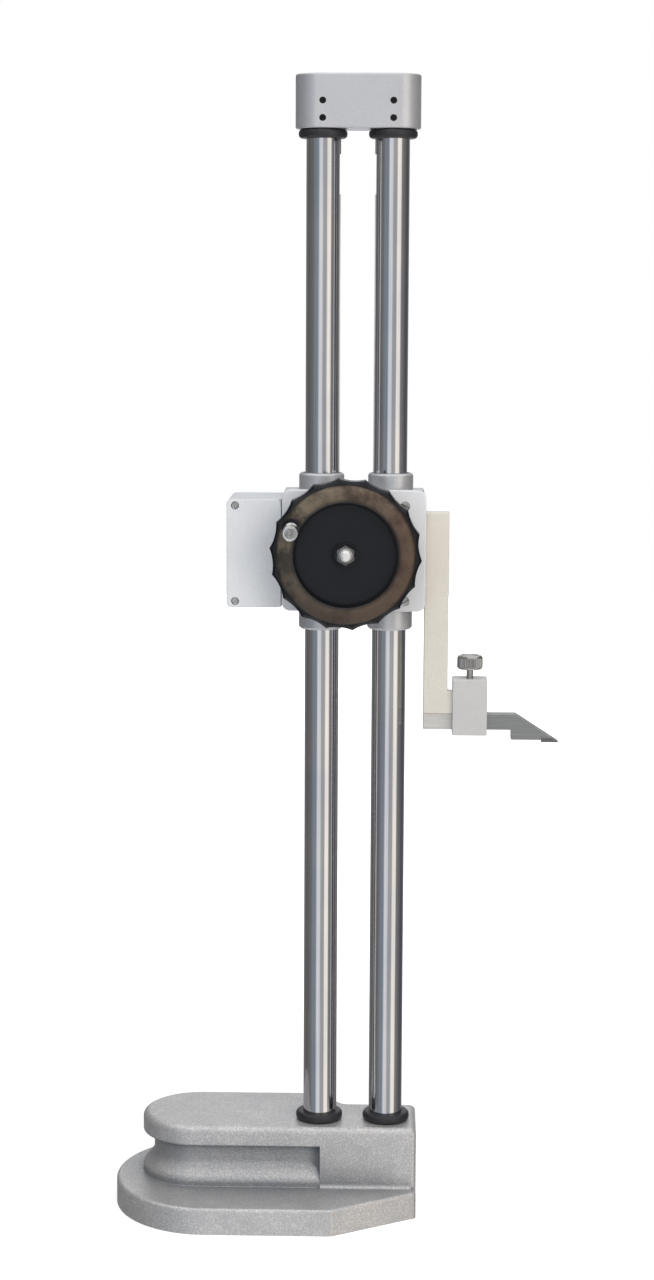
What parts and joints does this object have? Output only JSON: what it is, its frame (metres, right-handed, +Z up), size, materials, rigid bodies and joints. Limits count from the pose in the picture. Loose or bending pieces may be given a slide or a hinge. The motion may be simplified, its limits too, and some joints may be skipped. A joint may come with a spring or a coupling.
{
  "type": "height gauge",
  "caption": "Twin-column height gauge with a rack-driven carriage, handwheel, dial and digit counters, and a clamped carbide scriber on a heavy base.",
  "frame": {"origin": "on the base's ground face, midway between the axes of the two columns", "axes": "+Z up along the columns, +X towards the scriber's point, +Y towards the dial side; the handwheel is on the -Y side"},
  "size_m": [0.2744, 0.1398, 0.7],
  "materials": {
    "hammered_paint": "silver-grey hammered finish",
    "ground_steel": "hardened and ground",
    "rack_steel": "machined",
    "black_rubber": "moulded",
    "satin_aluminium": "satin anodised",
    "grey_plate": "pale grey satin paint",
    "black_phenolic": "moulded, satin",
    "black_steel": "blackened",
    "bright_chrome": "polished",
    "bronze": "sintered",
    "brass": "machined",
    "satin_steel": "satin",
    "dark_steel": "hardened",
    "carbide": "sintered carbide",
    "knurled_steel": "nickel plated, knurled",
    "dial_white": "satin white",
    "pointer_black": "black",
    "counter_black": "matt black with white figures",
    "clear_glass": "clear"
  },
  "bodies": {
    "stand": {"base": "hammered_paint", "column_bolts": "black_steel", "column_left": "ground_steel", "column_right": "ground_steel", "feed_rack": "rack_steel", "measuring_rack": "rack_steel", "lower_stop_rings": "black_rubber", "upper_stop_rings": "black_rubber", "top_bracket": "satin_aluminium", "bracket_set_screws": "black_steel"},
    "carriage": {"carriage_body": "satin_aluminium", "column_bushes": "bronze", "rear_cover": "grey_plate", "rear_cover_screws": "bright_chrome", "drive_bushes": "bronze", "measuring_bushes": "bronze", "dial_housing": "grey_plate", "housing_back_cover": "grey_plate", "housing_back_screws": "bright_chrome", "train_plate": "brass", "counter_shafts": "brass", "counter_windows": "clear_glass", "lock_pad": "brass", "measuring_arm": "satin_steel", "arm_screws": "black_steel"},
    "drive": {"handwheel": "black_phenolic", "drive_shaft": "rack_steel", "drive_pinion": "rack_steel", "wheel_washer": "bright_chrome", "wheel_cap_nut": "bright_chrome", "crank_screw": "bright_chrome"},
    "crank_knob": {"crank_knob": "bright_chrome"},
    "measuring_gear_train": {"measuring_shaft": "rack_steel", "measuring_pinion": "rack_steel", "train_gear": "brass"},
    "pointer": {"pointer": "pointer_black", "pointer_arbor": "brass"},
    "bezel": {"bezel": "bright_chrome", "crystal": "clear_glass", "dial_face": "dial_white"},
    "lock_knob": {"lock_knob": "knurled_steel"},
    "clamp_box": {"clamp_box": "satin_steel"},
    "thumb_screw": {"thumb_screw": "knurled_steel"},
    "scriber": {"scriber": "dark_steel", "scriber_tip": "carbide"},
    "counter_up_units": {"counter_up_units": "counter_black"},
    "counter_up_tens": {"counter_up_tens": "counter_black"},
    "counter_up_hundreds": {"counter_up_hundreds": "counter_black"},
    "reset_button_up": {"reset_button_up": "bright_chrome"},
    "counter_down_units": {"counter_down_units": "counter_black"},
    "counter_down_tens": {"counter_down_tens": "counter_black"},
    "counter_down_hundreds": {"counter_down_hundreds": "counter_black"},
    "reset_button_down": {"reset_button_down": "bright_chrome"}
  },
  "joints": [
    {"name": "carriage_slide", "type": "slide", "parent": "stand", "child": "carriage", "axis": [0, 0, 1], "range_m": [-0.299, 0.199]},
    {"name": "handwheel_turn", "type": "hinge", "parent": "carriage", "child": "drive", "pos_m": [-0.00555, -0.04, 0.417], "axis": [0, 1, 0], "range_deg": [-2180, 3270]},
    {"name": "crank_knob_spin", "type": "hinge", "parent": "drive", "child": "crank_knob", "pos_m": [-0.03773, -0.055, 0.432], "axis": [0, 1, 0], "continuous": true},
    {"name": "measuring_pinion_turn", "type": "hinge", "parent": "carriage", "child": "measuring_gear_train", "pos_m": [0.00603, 0, 0.40164], "axis": [0, 1, 0], "range_deg": [-3600, 2400]},
    {"name": "pointer_turn", "type": "hinge", "parent": "carriage", "child": "pointer", "pos_m": [0.001, 0.034, 0.4147], "axis": [0, 1, 0], "range_deg": [-14400, 21600]},
    {"name": "bezel_turn", "type": "hinge", "parent": "carriage", "child": "bezel", "pos_m": [0.001, 0.038, 0.4147], "axis": [0, 1, 0], "continuous": true},
    {"name": "lock_knob_turn", "type": "hinge", "parent": "carriage", "child": "lock_knob", "pos_m": [0.021, 0.022, 0.3748], "axis": [0, 1, 0], "range_deg": [-360, 45]},
    {"name": "clamp_box_slide", "type": "slide", "parent": "carriage", "child": "clamp_box", "axis": [1, 0, 0], "range_m": [-0.0015, 0.006]},
    {"name": "thumb_screw_turn", "type": "hinge", "parent": "clamp_box", "child": "thumb_screw", "pos_m": [0.0703, -0.0085, 0.348], "axis": [0, 0, 1], "range_deg": [0, 720]},
    {"name": "scriber_slide", "type": "slide", "parent": "carriage", "child": "scriber", "axis": [1, 0, 0], "range_m": [-0.0015, 0.015]},
    {"name": "counter_up_units_turn", "type": "hinge", "parent": "carriage", "child": "counter_up_units", "pos_m": [-0.0615, 0.0238, 0.432], "axis": [1, 0, 0], "range_deg": [-10800, 7200]},
    {"name": "counter_up_tens_turn", "type": "hinge", "parent": "carriage", "child": "counter_up_tens", "pos_m": [-0.0615, 0.0238, 0.432], "axis": [1, 0, 0], "range_deg": [-1080, 720]},
    {"name": "counter_up_hundreds_turn", "type": "hinge", "parent": "carriage", "child": "counter_up_hundreds", "pos_m": [-0.0615, 0.0238, 0.432], "axis": [1, 0, 0], "range_deg": [-108, 72]},
    {"name": "counter_down_units_turn", "type": "hinge", "parent": "carriage", "child": "counter_down_units", "pos_m": [-0.0615, 0.0238, 0.412], "axis": [1, 0, 0], "range_deg": [-7200, 10800]},
    {"name": "counter_down_tens_turn", "type": "hinge", "parent": "carriage", "child": "counter_down_tens", "pos_m": [-0.0615, 0.0238, 0.412], "axis": [1, 0, 0], "range_deg": [-720, 1080]},
    {"name": "counter_down_hundreds_turn", "type": "hinge", "parent": "carriage", "child": "counter_down_hundreds", "pos_m": [-0.0615, 0.0238, 0.412], "axis": [1, 0, 0], "range_deg": [-72, 108]},
    {"name": "reset_button_up_press", "type": "slide", "parent": "carriage", "child": "reset_button_up", "axis": [0, -1, 0], "range_m": [0, 0.0015], "stiffness_N_per_m": 900, "springref_m": -0.002},
    {"name": "reset_button_down_press", "type": "slide", "parent": "carriage", "child": "reset_button_down", "axis": [0, -1, 0], "range_m": [0, 0.0015], "stiffness_N_per_m": 900, "springref_m": -0.002}
  ],
  "couplings": [
    {"joint": "handwheel_turn", "follows": "carriage_slide", "rad_per_m": -190.4},
    {"joint": "measuring_pinion_turn", "follows": "carriage_slide", "rad_per_m": 209.44},
    {"joint": "pointer_turn", "follows": "carriage_slide", "rad_per_m": -1256.6},
    {"joint": "counter_up_units_turn", "follows": "carriage_slide", "rad_per_m": 628.32},
    {"joint": "counter_up_tens_turn", "follows": "carriage_slide", "rad_per_m": 62.832},
    {"joint": "counter_up_hundreds_turn", "follows": "carriage_slide", "rad_per_m": 6.2832},
    {"joint": "counter_down_units_turn", "follows": "carriage_slide", "rad_per_m": -628.32},
    {"joint": "counter_down_tens_turn", "follows": "carriage_slide", "rad_per_m": -62.832},
    {"joint": "counter_down_hundreds_turn", "follows": "carriage_slide", "rad_per_m": -6.2832}
  ]
}
